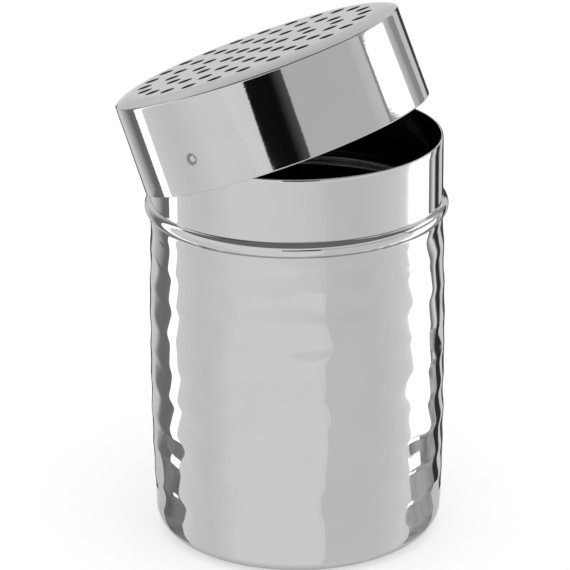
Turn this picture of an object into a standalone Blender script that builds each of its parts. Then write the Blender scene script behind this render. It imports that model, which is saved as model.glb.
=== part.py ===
"""Spice shaker: a drawn cup with a hammered wall and a perforated push-on lid.

Lengths are in metres and +Z is up. The origin is the centre of the base, on the
surface that the shaker stands on. The lid is off its seat: its low edge lies on
the bead at -X, and the lid leans back over it.
"""

import math

import bmesh
import bpy
from mathutils import Matrix, Vector

# Cup
CUP_SHEET = 0.0005
NECK_RADIUS = 0.0349
NECK_HEIGHT = 0.0148
RIM_LEAD_IN = 0.00045
RIM_LEAD_HEIGHT = 0.0020
BEAD_WIDTH = 0.0044
BEAD_STAND = 0.0013
WALL_HEIGHT = 0.0803
WALL_BULGE = 0.0006
BASE_CORNER_RADIUS = 0.0055

# Hammer marks on the cup's wall
MARKS_ROUND = 24
MARK_ROWS = 9
MARK_DEPTH = 0.00022

# Lid
LID_SHEET = 0.0004
LID_CLEARANCE = 0.0003
LID_HEIGHT = 0.0233
LID_CROWN = 0.0002
LID_SHOULDER_WIDTH = 0.0050
LID_SHOULDER_TURN = math.radians(28.0)
LID_CORNER_RADIUS = 0.0006
LID_DRAFT = 0.00025
LID_TURN = math.radians(20.0)
SEAT_GAP = 0.0003

# Pour holes, in rings round one centre hole
HOLE_RADIUS = 0.0017
HOLE_PITCH = 0.0069
HOLE_RINGS = 4
HOLES_PER_RING_STEP = 6

# Grip dimples, pressed into the lid's skirt
GRIP_DIMPLES = 3
GRIP_RADIUS = 0.0014
GRIP_DEPTH = 0.0002
GRIP_LEVEL = 0.0080
GRIP_FLOOR_SHARE = 0.55

# Fineness of the meshes
CUP_SIDES = 2 * MARKS_ROUND
LID_SIDES = 72
BEAD_STEPS = 8
CORNER_STEPS = 5
SHOULDER_STEPS = 4
CROWN_STEPS = 3
HOLE_SIDES = 10
GRIP_SIDES = 10
CUT_OVERRUN = 0.0005
MERGE_DISTANCE = 0.00001
SHARP_ANGLE = math.radians(35.0)

# Levels and radii that follow from the sizes above
BEAD_LEVEL = WALL_HEIGHT + BEAD_WIDTH / 2
CUP_HEIGHT = WALL_HEIGHT + BEAD_WIDTH + NECK_HEIGHT
LID_INNER_RADIUS = NECK_RADIUS + LID_CLEARANCE
LID_RADIUS = LID_INNER_RADIUS + LID_SHEET
LID_TOP_RADIUS = LID_RADIUS - LID_DRAFT
LID_FLAT_RADIUS = LID_TOP_RADIUS - LID_SHOULDER_WIDTH
LID_SHOULDER_RADIUS = LID_CORNER_RADIUS + (
    LID_SHOULDER_WIDTH - LID_CORNER_RADIUS
) / math.sin(LID_SHOULDER_TURN)
LID_CORNER_LEVEL = LID_HEIGHT - LID_CORNER_RADIUS - (
    LID_SHOULDER_RADIUS - LID_CORNER_RADIUS
) * (1 - math.cos(LID_SHOULDER_TURN))


def clear_scene():
    """Take away whatever the scene starts with."""
    for obj in list(bpy.data.objects):
        bpy.data.objects.remove(obj)


def new_collection(name):
    """Make a collection in the scene."""
    collection = bpy.data.collections.new(name)
    bpy.context.scene.collection.children.link(collection)
    return collection


def steel(name, grey, roughness):
    """Polished stainless steel."""
    material = bpy.data.materials.new(name)
    material.use_nodes = True
    shader = material.node_tree.nodes["Principled BSDF"]
    shader.inputs["Base Color"].default_value = (grey, grey, grey, 1.0)
    shader.inputs["Metallic"].default_value = 1.0
    shader.inputs["Roughness"].default_value = roughness
    return material


def turned(name, outline, sides, collection):
    """Turn an outline about Z. It runs down the outer side of the sheet."""
    mesh = bpy.data.meshes.new(name)
    points = [(radius, 0, level) for radius, level in outline]
    edges = [(index, index + 1) for index in range(len(points) - 1)]
    mesh.from_pydata(points, edges, [])
    obj = bpy.data.objects.new(name, mesh)
    collection.objects.link(obj)
    screw = obj.modifiers.new("turn", "SCREW")
    screw.axis = "Z"
    screw.steps = sides
    screw.render_steps = sides
    screw.use_merge_vertices = True
    screw.merge_threshold = MERGE_DISTANCE
    screw.use_smooth_shade = True
    return obj


def give_sheet(obj, thickness):
    """Give the turned surface the sheet's thickness, on its inner side."""
    sheet = obj.modifiers.new("sheet", "SOLIDIFY")
    sheet.thickness = thickness
    sheet.offset = -1.0
    sheet.use_even_offset = True
    sheet.use_quality_normals = True


def freeze(obj):
    """Replace an object's mesh by its evaluated mesh."""
    graph = bpy.context.evaluated_depsgraph_get()
    mesh = bpy.data.meshes.new_from_object(obj.evaluated_get(graph))
    obj.modifiers.clear()
    obj.data = mesh


def stud(mesh_tool, matrix, inner_radius, outer_radius, length, sides):
    """Add a closed round stud that runs along the matrix's Z, centred on it."""
    bmesh.ops.create_cone(
        mesh_tool,
        cap_ends=True,
        segments=sides,
        radius1=inner_radius,
        radius2=outer_radius,
        depth=length,
        matrix=matrix,
    )


def tool_object(name, mesh_tool, collection, beside):
    """Make a hidden tool from a bmesh, in the same place as the piece it works on."""
    mesh = bpy.data.meshes.new(name)
    mesh_tool.to_mesh(mesh)
    mesh_tool.free()
    obj = bpy.data.objects.new(name, mesh)
    collection.objects.link(obj)
    obj.parent = beside.parent
    obj.location = beside.location
    obj.display_type = "WIRE"
    obj.hide_render = True
    return obj


def combine(obj, tool, operation):
    """Cut a tool out of an object, or join it on."""
    boolean = obj.modifiers.new(tool.name, "BOOLEAN")
    boolean.operation = operation
    boolean.solver = "EXACT"
    boolean.object = tool


def bead_radius(level):
    """Outer radius of the rolled bead, which blends into neck and wall."""
    turn = 2 * math.pi * (level - BEAD_LEVEL) / BEAD_WIDTH
    return NECK_RADIUS + BEAD_STAND * (1 + math.cos(turn)) / 2


def bead_level_above(radius):
    """Level on the bead's upper flank where it has this radius."""
    share = (radius - NECK_RADIUS) / BEAD_STAND
    return BEAD_LEVEL + BEAD_WIDTH * math.acos(2 * share - 1) / (2 * math.pi)


def wall_radius(level):
    """Outer radius of the wall, which hammering leaves slightly barrelled."""
    share = (level - BASE_CORNER_RADIUS) / (WALL_HEIGHT - BASE_CORNER_RADIUS)
    return NECK_RADIUS + WALL_BULGE * 4 * share * (1 - share)


def mark_level(index):
    """Level of one line of the hammered wall. Odd lines run through the marks."""
    step = (WALL_HEIGHT - BASE_CORNER_RADIUS) / (2 * MARK_ROWS)
    return BASE_CORNER_RADIUS + step * index


def cup_outline():
    """Outer side of the cup, from the rim to the centre of the base."""
    outline = [(NECK_RADIUS - RIM_LEAD_IN, CUP_HEIGHT)]
    outline.append((NECK_RADIUS, CUP_HEIGHT - RIM_LEAD_HEIGHT))
    for index in range(BEAD_STEPS):
        level = WALL_HEIGHT + BEAD_WIDTH * (1 - index / BEAD_STEPS)
        outline.append((bead_radius(level), level))
    for index in range(2 * MARK_ROWS, 0, -1):
        level = mark_level(index)
        outline.append((wall_radius(level), level))
    centre = NECK_RADIUS - BASE_CORNER_RADIUS
    for index in range(CORNER_STEPS + 1):
        angle = math.pi / 2 * index / CORNER_STEPS
        radius = centre + BASE_CORNER_RADIUS * math.cos(angle)
        outline.append((radius, BASE_CORNER_RADIUS * (1 - math.sin(angle))))
    outline.append((0, 0))
    return outline


def hammer(mesh):
    """Push the middle of each hammer mark in. The rows are staggered."""
    step = mark_level(1) - mark_level(0)
    for vertex in mesh.vertices:
        line = round((vertex.co.z - mark_level(0)) / step)
        if line % 2 == 0 or not 0 < line < 2 * MARK_ROWS:
            continue
        column = round(math.atan2(vertex.co.y, vertex.co.x) * CUP_SIDES / math.tau)
        if (column + line // 2) % 2 == 0:
            radius = math.hypot(vertex.co.x, vertex.co.y)
            vertex.co.x *= (radius - MARK_DEPTH) / radius
            vertex.co.y *= (radius - MARK_DEPTH) / radius


def make_cup(collection):
    """The cup: base, corner, hammered wall, bead and neck, drawn from one sheet."""
    cup = turned("shaker_body", cup_outline(), CUP_SIDES, collection)
    freeze(cup)
    hammer(cup.data)
    cup.data.shade_smooth()
    cup.data.set_sharp_from_angle(angle=SHARP_ANGLE)
    give_sheet(cup, CUP_SHEET)
    cup.data.materials.append(steel("hammered_steel", 0.72, 0.12))
    return cup


def skirt_radius(level):
    """Outer radius of the lid's skirt, which is drafted towards the top."""
    return LID_RADIUS - LID_DRAFT * level / LID_CORNER_LEVEL


def bend(centre, radius, start, turn, steps):
    """Points on an arc that starts at this angle from the axis and bends down."""
    for index in range(steps + 1):
        angle = start + turn * index / steps
        yield (
            centre[0] + radius * math.sin(angle),
            centre[1] + radius * math.cos(angle),
        )


def lid_outline():
    """Outer side of the lid, from the centre of the crown to the skirt's edge.

    The plate bends down over a wide shoulder, and then round a tight corner.
    """
    outline = []
    for index in range(CROWN_STEPS):
        share = index / CROWN_STEPS
        level = LID_HEIGHT + LID_CROWN * (1 - share * share)
        outline.append((LID_FLAT_RADIUS * share, level))
    shoulder = (LID_FLAT_RADIUS, LID_HEIGHT - LID_SHOULDER_RADIUS)
    bends = bend(shoulder, LID_SHOULDER_RADIUS, 0, LID_SHOULDER_TURN, SHOULDER_STEPS)
    outline += list(bends)[:-1]
    corner = (LID_TOP_RADIUS - LID_CORNER_RADIUS, LID_CORNER_LEVEL)
    rest = math.pi / 2 - LID_SHOULDER_TURN
    outline += bend(corner, LID_CORNER_RADIUS, LID_SHOULDER_TURN, rest, CORNER_STEPS)
    outline.append((LID_RADIUS, 0))
    return outline


def hole_places():
    """Centres of the pour holes: ring by ring, each on the same starting ray."""
    places = [Vector((0, 0, 0))]
    for ring in range(1, HOLE_RINGS + 1):
        count = HOLES_PER_RING_STEP * ring
        for index in range(count):
            angle = LID_TURN + math.tau * index / count
            ray = Vector((math.cos(angle), math.sin(angle), 0))
            places.append(ray * HOLE_PITCH * ring)
    return places


def grip_places():
    """The grip dimples' centres on the skirt, with Z of each matrix outwards."""
    radius = skirt_radius(GRIP_LEVEL)
    for index in range(GRIP_DIMPLES):
        angle = LID_TURN + math.tau * index / GRIP_DIMPLES
        turn = Matrix.Rotation(angle, 4, "Z")
        tip_out = Matrix.Rotation(math.pi / 2, 4, "Y")
        yield turn @ Matrix.Translation((radius, 0, GRIP_LEVEL)) @ tip_out


def pour_holes(lid, cutters):
    """One cutter for all the pour holes."""
    tool = bmesh.new()
    length = LID_CROWN + LID_SHEET + 2 * CUT_OVERRUN
    middle = LID_HEIGHT + (LID_CROWN - LID_SHEET) / 2
    for place in hole_places():
        matrix = Matrix.Translation(place + Vector((0, 0, middle)))
        stud(tool, matrix, HOLE_RADIUS, HOLE_RADIUS, length, HOLE_SIDES)
    return tool_object("pour_hole_cutter", tool, cutters, lid)


def grip_hollows(lid, cutters):
    """One cutter for the outer hollows of the grip dimples."""
    tool = bmesh.new()
    length = GRIP_DEPTH + CUT_OVERRUN
    floor = GRIP_RADIUS * GRIP_FLOOR_SHARE
    for place in grip_places():
        matrix = place @ Matrix.Translation((0, 0, length / 2 - GRIP_DEPTH))
        stud(tool, matrix, floor, GRIP_RADIUS, length, GRIP_SIDES)
    return tool_object("grip_hollow_cutter", tool, cutters, lid)


def grip_bumps(lid, cutters):
    """The inner bumps of the grip dimples, which rub on the neck."""
    tool = bmesh.new()
    length = GRIP_DEPTH + LID_SHEET / 2
    floor = GRIP_RADIUS * GRIP_FLOOR_SHARE
    for place in grip_places():
        matrix = place @ Matrix.Translation((0, 0, length / 2 - LID_SHEET - GRIP_DEPTH))
        stud(tool, matrix, floor, GRIP_RADIUS, length, GRIP_SIDES)
    return tool_object("grip_bumps", tool, cutters, lid)


def seat_level():
    """Level of the lid's low edge, where it lies on the bead's shoulder."""
    return bead_level_above(LID_INNER_RADIUS) + SEAT_GAP


def lid_tilt():
    """Tilt at which the low edge lies on the bead and the skirt meets the rim.

    The skirt's edge is a tilted circle. Where it crosses the rim's level, it is
    rim_radius away from the cup's axis, which gives this half angle.
    """
    rise = CUP_HEIGHT - seat_level()
    rim_radius = NECK_RADIUS - RIM_LEAD_IN + SEAT_GAP
    spare = LID_INNER_RADIUS**2 - rim_radius**2
    return 2 * math.atan((rise**2 - spare) / (2 * rise * LID_RADIUS))


def make_tip():
    """The empty that tips the lid about its low edge, just above the bead."""
    tip = bpy.data.objects.new("lid_tip", None)
    bpy.context.scene.collection.objects.link(tip)
    tip.location = (-LID_RADIUS, 0, seat_level())
    tip.rotation_euler = (0, -lid_tilt(), 0)
    print(f"lid tilt {math.degrees(lid_tilt()):.2f} degrees")
    return tip


def make_lid(collection, cutters):
    """The lid: crown, shoulder and skirt from one sheet, level in its own frame."""
    lid = turned("perforated_lid", lid_outline(), LID_SIDES, collection)
    freeze(lid)
    lid.data.shade_smooth()
    lid.data.set_sharp_from_angle(angle=SHARP_ANGLE)
    lid.parent = make_tip()
    lid.location = (LID_RADIUS, 0, 0)
    give_sheet(lid, LID_SHEET)
    combine(lid, grip_bumps(lid, cutters), "UNION")
    combine(lid, grip_hollows(lid, cutters), "DIFFERENCE")
    combine(lid, pour_holes(lid, cutters), "DIFFERENCE")
    lid.data.materials.append(steel("polished_steel", 0.74, 0.08))
    return lid


def main():
    clear_scene()
    parts = new_collection("spice_shaker")
    cutters = new_collection("cutters")
    make_cup(parts)
    make_lid(parts, cutters)


main()
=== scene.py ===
# %% [markdown]
# # A spice shaker in polished and hammered steel
#
# The real object is two pieces of stainless sheet: a drawn cup with a hammered wall,
# and a push-on lid with pour holes. The lid is off its seat and lies tipped on the
# cup's bead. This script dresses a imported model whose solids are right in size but
# coarse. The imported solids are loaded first, because every size is fitted to them.

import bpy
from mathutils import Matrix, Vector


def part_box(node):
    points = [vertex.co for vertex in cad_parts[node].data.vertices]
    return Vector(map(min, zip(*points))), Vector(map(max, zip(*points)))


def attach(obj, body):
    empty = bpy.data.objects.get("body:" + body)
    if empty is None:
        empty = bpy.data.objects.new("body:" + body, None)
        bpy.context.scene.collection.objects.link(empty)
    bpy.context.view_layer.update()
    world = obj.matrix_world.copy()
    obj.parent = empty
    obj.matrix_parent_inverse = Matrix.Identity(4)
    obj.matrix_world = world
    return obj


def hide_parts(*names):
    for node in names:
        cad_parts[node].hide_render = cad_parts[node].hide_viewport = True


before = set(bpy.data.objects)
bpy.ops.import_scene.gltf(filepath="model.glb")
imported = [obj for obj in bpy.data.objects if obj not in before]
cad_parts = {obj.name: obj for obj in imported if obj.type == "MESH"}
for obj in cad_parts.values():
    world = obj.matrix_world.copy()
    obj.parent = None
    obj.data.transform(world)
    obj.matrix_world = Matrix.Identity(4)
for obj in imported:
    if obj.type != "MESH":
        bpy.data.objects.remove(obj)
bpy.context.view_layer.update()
print("solids:", sorted(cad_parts))

# %% Python's and Blender's own modules
import math

import bmesh
import bpy
from mathutils import Matrix, Quaternion, Vector

# %% [markdown]
# ## Sizes
#
# The boxes of the two solids give the large sizes. What a box can't tell, such as the
# thickness of the sheet or the radius of a corner, is a named value of its own here.
# The tipped lid is described level, in its own frame, and one matrix then tips it.
# The tilt follows from how far the low rim reaches along X once it is tipped.

# %% The cup's sizes, in metres
body_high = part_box("shaker_body")[1]
CUP_HEIGHT = body_high.z
BEAD_RADIUS = body_high.x
BEAD_STAND = 0.0013
BEAD_WIDTH = 0.0044
NECK_RADIUS = BEAD_RADIUS - BEAD_STAND
NECK_HEIGHT = 0.0148
WALL_HEIGHT = CUP_HEIGHT - NECK_HEIGHT - BEAD_WIDTH
BEAD_LEVEL = WALL_HEIGHT + BEAD_WIDTH / 2
WALL_BULGE = 0.0006
BASE_CORNER_RADIUS = 0.0055
CUP_SHEET = 0.0005
RIM_LEAD_IN = 0.0001
RIM_LEAD_HEIGHT = 0.0012
print(f"cup {CUP_HEIGHT * 1000:.1f} mm tall, neck {2 * NECK_RADIUS * 1000:.1f} mm across")

# %% The lid's sizes and its tilt
lid_low, lid_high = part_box("perforated_lid")
LID_RADIUS = lid_high.y
LID_SHEET = 0.0004
LID_HEIGHT = 0.0233
LID_SHOULDER_WIDTH = 0.0050
LID_CORNER_RADIUS = 0.0006
SHOULDER_TURN = 28.0
LID_DRAFT = 0.00025
LID_TURN = math.radians(20.0)
LID_TOP_RADIUS = LID_RADIUS - LID_DRAFT
shoulder_turn = math.radians(SHOULDER_TURN)
corner_inset = LID_CORNER_RADIUS * (1 - math.sin(shoulder_turn))
LID_FLAT_RADIUS = LID_TOP_RADIUS - LID_SHOULDER_WIDTH
SHOULDER_RADIUS = (LID_SHOULDER_WIDTH - corner_inset) / math.sin(shoulder_turn)
shoulder_drop = (SHOULDER_RADIUS - LID_CORNER_RADIUS) * (1 - math.cos(shoulder_turn))
SKIRT_TOP = LID_HEIGHT - shoulder_drop - LID_CORNER_RADIUS
SEAT_LEVEL = lid_low.z
lid_tilt = math.acos((lid_high.x + LID_RADIUS) / (2 * LID_RADIUS))
tip_out = Matrix.Translation((-LID_RADIUS, 0, SEAT_LEVEL))
tip_in = Matrix.Translation((LID_RADIUS, 0, 0))
lid_place = tip_out @ Matrix.Rotation(-lid_tilt, 4, "Y") @ tip_in
print(f"lid tipped {math.degrees(lid_tilt):.1f} degrees about its low edge")

# %% [markdown]
# ## Small helpers
#
# Shader trees and Geometry Nodes trees are built by the same calls. `new_tree` starts a
# node group. `place` makes a node and fills its inputs in order: a socket is linked, a
# plain value is typed in. `calc` is the short form for a Math node.

# %% Helpers for objects and node trees
def add_object(name, data):
    """A new object in the scene, at the origin."""
    piece = bpy.data.objects.new(name, data)
    bpy.context.scene.collection.objects.link(piece)
    return piece


def opaque(level):
    """The opaque grey of this level."""
    return (level, level, level, 1.0)


def place(tree, kind, *values, **settings):
    """Add a node. Its inputs take the values in order, and None leaves one alone."""
    node = tree.nodes.new(kind)
    for name, value in settings.items():
        setattr(node, name, value)
    sockets = [socket for socket in node.inputs if socket.enabled]
    for socket, value in zip(sockets, values):
        if isinstance(value, bpy.types.NodeSocket):
            tree.links.new(value, socket)
        elif value is not None:
            socket.default_value = value
    return node


def fill(node, values):
    """Set a node's inputs by their names."""
    for name, value in values.items():
        node.inputs[name].default_value = value


def calc(tree, operation, *values):
    """The result of one Math node."""
    return place(tree, "ShaderNodeMath", *values, operation=operation).outputs[0]


def on_ring(tree, angle, radius):
    """X and Y of the place at this angle on a ring of this radius."""
    x = calc(tree, "MULTIPLY", calc(tree, "COSINE", angle), radius)
    return x, calc(tree, "MULTIPLY", calc(tree, "SINE", angle), radius)


def new_tree(name, kind, inputs, outputs):
    """A node group with named sockets, its group input and its group output."""
    tree = bpy.data.node_groups.new(name, kind)
    for label, socket_type, value in inputs:
        socket = tree.interface.new_socket(label, in_out="INPUT", socket_type=socket_type)
        if value is not None:
            socket.default_value = value
    for label, socket_type in outputs:
        tree.interface.new_socket(label, in_out="OUTPUT", socket_type=socket_type)
    return tree, tree.nodes.new("NodeGroupInput"), tree.nodes.new("NodeGroupOutput")


print("helpers ready")

# %% [markdown]
# ## A turned skin
#
# Drawn and spun sheet metal is round about one axis, so each piece is one outline
# turned about Z. A Screw modifier would do it with evenly spaced columns. Here the
# columns are a list of angles, so that the lid can have close ones at its small grip
# dimples and wider ones elsewhere. An outline that runs down the outside and up the
# inside has its faces pointing out, and it needs no Solidify.

# %% Turn an outline about Z
INSIDE = "inside"


def turn(name, outline, angles, inside_rows=(0, 0)):
    """Make a mesh of an outline of (radius, level) points. Poles close to one vertex."""
    skin = bmesh.new()
    inside = skin.faces.layers.bool.new(INSIDE)
    rings = []
    for radius, level in outline:
        if radius == 0:
            rings.append([skin.verts.new((0, 0, level))])
            continue
        ring = [(radius * math.cos(a), radius * math.sin(a), level) for a in angles]
        rings.append([skin.verts.new(point) for point in ring])
    for row, (upper, lower) in enumerate(zip(rings, rings[1:])):
        for column in range(len(angles)):
            after = (column + 1) % len(angles)
            corners = [upper[column % len(upper)], lower[column % len(lower)]]
            if len(lower) > 1:
                corners.append(lower[after])
            if len(upper) > 1:
                corners.append(upper[after])
            face = skin.faces.new(corners)
            face.smooth = True
            face[inside] = inside_rows[0] <= row < inside_rows[1]
    mesh = bpy.data.meshes.new(name)
    skin.to_mesh(mesh)
    skin.free()
    return add_object(name, mesh)


def arc(centre, radius, start, end, steps):
    """Points along an arc, angles in degrees from +radius towards +level."""
    points = []
    for index in range(steps + 1):
        angle = math.radians(start + (end - start) * index / steps)
        point = (centre[0] + radius * math.cos(angle), centre[1] + radius * math.sin(angle))
        points.append(point)
    return points


SUPPORT_RATIO = 3.0


def with_supports(outline):
    """Add a ring beside each tight bend, so that its shading stays out of flat steel."""
    gaps = [math.dist(start, end) for start, end in zip(outline, outline[1:])]
    result = [outline[0]]
    for index, gap in enumerate(gaps):
        start, end = outline[index], outline[index + 1]
        before = gaps[max(index - 1, 0)]
        after = gaps[min(index + 1, len(gaps) - 1)]
        shares = [before / gap] if gap > SUPPORT_RATIO * before else []
        shares += [1 - after / gap] if gap > SUPPORT_RATIO * after else []
        for share in shares:
            result.append([a + (b - a) * share for a, b in zip(start, end)])
        result.append(end)
    return result


def even_angles(count):
    """Evenly spaced columns."""
    return [math.tau * index / count for index in range(count)]


print("turning helpers ready")

# %% [markdown]
# ## Polished steel
#
# Steel shows its surroundings, so its own colour is one pale grey and all the rest is
# in how smooth it is. Polishing wheels leave fine lines round the axis. One shader
# group makes them for both pieces: noise that is stretched along the circumference and
# tight along the outline. Level minus radius grows steadily from the skirt's edge to the
# centre of the plate, so the lines follow the lid round its corner. A second, shorter
# noise is the grain that frays the edges of reflections.

# %% The polish lines, one group for every steel
LINE_INPUTS = [
    ("Position", "NodeSocketVector", None),
    ("Lines per metre", "NodeSocketFloat", 3000.0),
    ("Sweep per metre", "NodeSocketFloat", 60.0),
    ("Cloud per metre", "NodeSocketFloat", 90.0),
    ("Grain round per metre", "NodeSocketFloat", 700.0),
    ("Grain along per metre", "NodeSocketFloat", 2500.0),
    ("Line Height", "NodeSocketFloat", 0.000001),
    ("Grain Height", "NodeSocketFloat", 0.0),
]
LINE_OUTPUTS = [("Height", "NodeSocketFloat"), ("Cloud", "NodeSocketFloat")]
LINE_DETAIL = 3.0
GRAIN_DETAIL = 1.0
CLOUD_DETAIL = 2.0


def ring_noise(tree, parts, along, per_metre_round, per_metre_along, detail):
    """Noise with one scale round the axis and another along the outline."""
    stretched = place(
        tree,
        "ShaderNodeCombineXYZ",
        calc(tree, "MULTIPLY", parts.outputs[0], per_metre_round),
        calc(tree, "MULTIPLY", parts.outputs[1], per_metre_round),
        calc(tree, "MULTIPLY", along, per_metre_along),
    )
    noise = place(tree, "ShaderNodeTexNoise", stretched.outputs[0], noise_dimensions="3D")
    fill(noise, {"Scale": 1.0, "Detail": detail})
    return noise.outputs[0]


def polish_line_group():
    """Lines round Z as a height, and soft clouds for the colour and the roughness."""
    tree, given, result = new_tree(
        "polish_lines", "ShaderNodeTree", LINE_INPUTS, LINE_OUTPUTS
    )
    position, lines, sweep, cloud, grain_round, grain_along = given.outputs[:6]
    parts = place(tree, "ShaderNodeSeparateXYZ", position)
    flat = place(tree, "ShaderNodeCombineXYZ", parts.outputs[0], parts.outputs[1], 0.0)
    radius = place(tree, "ShaderNodeVectorMath", flat.outputs[0], operation="LENGTH")
    along = calc(tree, "SUBTRACT", parts.outputs[2], radius.outputs["Value"])
    rings = ring_noise(tree, parts, along, sweep, lines, LINE_DETAIL)
    grains = ring_noise(tree, parts, along, grain_round, grain_along, GRAIN_DETAIL)
    low = calc(tree, "MULTIPLY", grains, given.outputs["Grain Height"])
    height = calc(tree, "MULTIPLY_ADD", rings, given.outputs["Line Height"], low)
    clouds = place(tree, "ShaderNodeTexNoise", position, cloud, noise_dimensions="3D")
    fill(clouds, {"Detail": CLOUD_DETAIL})
    tree.links.new(height, result.inputs[0])
    tree.links.new(clouds.outputs[0], result.inputs[1])
    return tree


polish_lines = polish_line_group()
print("group", polish_lines.name, "with", len(polish_lines.nodes), "nodes")

# %% [markdown]
# ## The steels of this shaker
#
# The cup's outside and the lid are bright polished. The insides were never polished
# after drawing, so they are darker and duller. The lips of the punched holes are darker
# still: that is painted shade. The flank of a grip dimple is darker too, and a little
# duller, and its darkness is painted shade as well. The lid is tipped, so a Mapping node
# turns its pattern back level before the lines are made.

# %% Make the steels
EDGE_TINT = 0.72
DARK_CLOUD = (0.97, 0.972, 0.975)
LIGHT_CLOUD = 1.03
LEAST_ROUGH = 0.7
CLOUD_ROUGH = 0.6


def steel(name, grey, roughness, line_height, matrix=None, grain=0.0):
    """A stainless steel. The matrix tells where the piece's own axis lies."""
    material = bpy.data.materials.new(name)
    material.use_nodes = True
    tree = material.node_tree
    shader = tree.nodes["Principled BSDF"]
    where = place(tree, "ShaderNodeTexCoord").outputs["Object"]
    if matrix is not None:
        level = place(tree, "ShaderNodeMapping", where, vector_type="TEXTURE")
        fill(level, {"Location": matrix.to_translation(), "Rotation": matrix.to_euler()})
        where = level.outputs[0]
    group = place(tree, "ShaderNodeGroup", node_tree=polish_lines)
    tree.links.new(where, group.inputs["Position"])
    fill(group, {"Line Height": line_height, "Grain Height": grain})
    cloud = group.outputs["Cloud"]
    dark = (*(grey * share for share in DARK_CLOUD), 1.0)
    light = opaque(grey * LIGHT_CLOUD)
    shades = place(tree, "ShaderNodeMix", cloud, dark, light, data_type="RGBA")
    tree.links.new(shades.outputs[2], shader.inputs["Base Color"])
    spread = (roughness * CLOUD_ROUGH, roughness * LEAST_ROUGH)
    rough = calc(tree, "MULTIPLY_ADD", cloud, *spread)
    tree.links.new(rough, shader.inputs["Roughness"])
    bump = place(tree, "ShaderNodeBump")
    fill(bump, {"Strength": 1.0, "Distance": 1.0})
    tree.links.new(group.outputs["Height"], bump.inputs["Height"])
    tree.links.new(bump.outputs[0], shader.inputs["Normal"])
    fill(shader, {"Metallic": 1.0, "Specular Tint": opaque(EDGE_TINT)})
    return material


hammered_steel = steel("hammered_steel", 0.58, 0.04, 0.0000012)
drawn_steel = steel("drawn_steel", 0.42, 0.16, 0.000004)
lid_steel = steel("lid_steel", 0.57, 0.05, 0.000002, lid_place, 0.000006)
# The hole lips get painted shade: a near-black, rough grey.
lip_painted_shade_steel = steel("lip_painted_shade_steel", 0.10, 0.45, 0.000004, lid_place)
# The dimple's flank gets painted shade: a dark grey ring, a little duller than the lid.
dimple_painted_shade_steel = steel("dimple_painted_shade_steel", 0.24, 0.10, 0.000002, lid_place)
lid_inside_steel = steel("lid_inside_steel", 0.42, 0.18, 0.000004, lid_place)
print("steels:", [material.name for material in bpy.data.materials if "steel" in material.name])

# %% [markdown]
# ## The cup's outline
#
# From the centre of the base outwards there is a round corner, the wall, which the
# hammering has left slightly barrelled, a rolled bead that stops the lid, and the
# straight neck, drawn in a little at the rim so that the lid finds its way. The wall
# needs many lines because each hammer mark needs a bowl of its own; the neck needs few.

# %% The outline of the cup
MARKS_ROUND = 24
MARK_ROWS = 9
COLUMNS_PER_MARK = 13
LINES_PER_MARK = 14
INNER_LINES_PER_MARK = 5
FILLET_RADIUS = 0.00045
FILLET_TURN = 62.0
OUTER_BEND_STEPS = 6
INNER_BEND_STEPS = 4
RIM_STEPS = 8
BASE_RINGS = (0.75, 0.5, 0.25)


def wall_radius(level):
    """Outer radius of the wall, slightly barrelled."""
    share = (level - BASE_CORNER_RADIUS) / (WALL_HEIGHT - BASE_CORNER_RADIUS)
    return NECK_RADIUS + WALL_BULGE * 4 * share * (1 - share)


def bead_outline(side, steps):
    """The rolled bead, top to bottom, with a fillet on each side. Side is the offset."""
    turn_rad = math.radians(FILLET_TURN)
    fillet = FILLET_RADIUS + side
    spread = (BEAD_STAND - FILLET_RADIUS * (1 - math.cos(turn_rad))) / (
        1 - math.cos(turn_rad)
    )
    roll = spread - side
    centre_radius = BEAD_RADIUS - spread
    top = BEAD_LEVEL + (spread + FILLET_RADIUS) * math.sin(turn_rad)
    bottom = 2 * BEAD_LEVEL - top
    fillet_radius = NECK_RADIUS + FILLET_RADIUS
    upper = arc((fillet_radius, top), fillet, 180, 180 + FILLET_TURN, steps)
    crest = arc((centre_radius, BEAD_LEVEL), roll, FILLET_TURN, -FILLET_TURN, 2 * steps)
    lower = arc((fillet_radius, bottom), fillet, 180 - FILLET_TURN, 180, steps)
    return upper + crest[1:-1] + lower


def cup_side(inset, lines_per_mark, steps):
    """One side of the sheet, from the rim's lead-in down to the base."""
    outline = [(NECK_RADIUS - RIM_LEAD_IN / 2 - inset, CUP_HEIGHT - RIM_LEAD_HEIGHT / 2)]
    outline.append((NECK_RADIUS - inset, CUP_HEIGHT - RIM_LEAD_HEIGHT))
    outline.append((NECK_RADIUS - inset, (CUP_HEIGHT + BEAD_LEVEL) / 2))
    outline += bead_outline(inset, steps)
    lines = MARK_ROWS * lines_per_mark
    for index in range(1, lines):
        level = WALL_HEIGHT + (BASE_CORNER_RADIUS - WALL_HEIGHT) * index / lines
        outline.append((wall_radius(level) - inset, level))
    centre = (NECK_RADIUS - BASE_CORNER_RADIUS, BASE_CORNER_RADIUS)
    outline += arc(centre, BASE_CORNER_RADIUS - inset, 0, -90, 2 * steps)
    outline += [(centre[0] * share, inset) for share in BASE_RINGS]
    outline.append((0, inset))
    return outline


half = CUP_SHEET / 2
rim_centre = (NECK_RADIUS - RIM_LEAD_IN - half, CUP_HEIGHT - half)
cup_outer = cup_side(0, LINES_PER_MARK, OUTER_BEND_STEPS)
cup_inner = cup_side(CUP_SHEET, INNER_LINES_PER_MARK, INNER_BEND_STEPS)
rim = arc(rim_centre, half, 180, 0, RIM_STEPS)
cup_outline = with_supports(cup_inner[::-1] + rim + cup_outer)
cup_inside_rows = (0, cup_outline.index(rim[0]))
print(len(cup_outline), "rings in the cup")

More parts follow.
